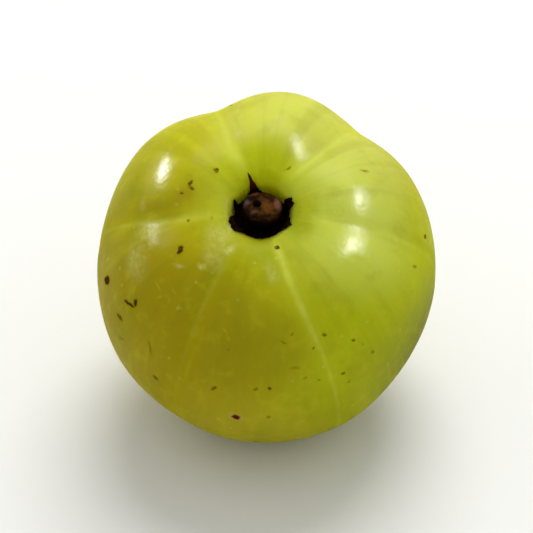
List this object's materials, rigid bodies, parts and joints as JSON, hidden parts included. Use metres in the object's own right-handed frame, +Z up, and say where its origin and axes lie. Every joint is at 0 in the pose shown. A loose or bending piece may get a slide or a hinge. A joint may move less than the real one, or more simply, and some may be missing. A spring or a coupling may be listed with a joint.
{
  "type": "indian gooseberry",
  "caption": "Round, slightly flattened orchard fruit with shallow lengthwise furrows, a crater at the stem end with a dried calyx and a woody stub, and a small flat to lie on.",
  "frame": {"origin": "under the middle of the object's bounding box, on the surface it lies on", "axes": "+Z up from that surface; the stem end leans toward -Y, 26 degrees from +Z, and 2 degrees toward -X"},
  "size_m": [0.0334, 0.034, 0.0329],
  "materials": {
    "skin": "smooth waxy yellow-green fruit skin, translucent, with paler furrow lines",
    "calyx": "dried, nearly black, matt and curled",
    "bark": "dry brown woody stalk end, rough and matt"
  },
  "bodies": {
    "root": {"fruit": "skin", "calyx": "calyx", "stem_stub": "bark", "style_tip": "bark"}
  },
  "joints": []
}
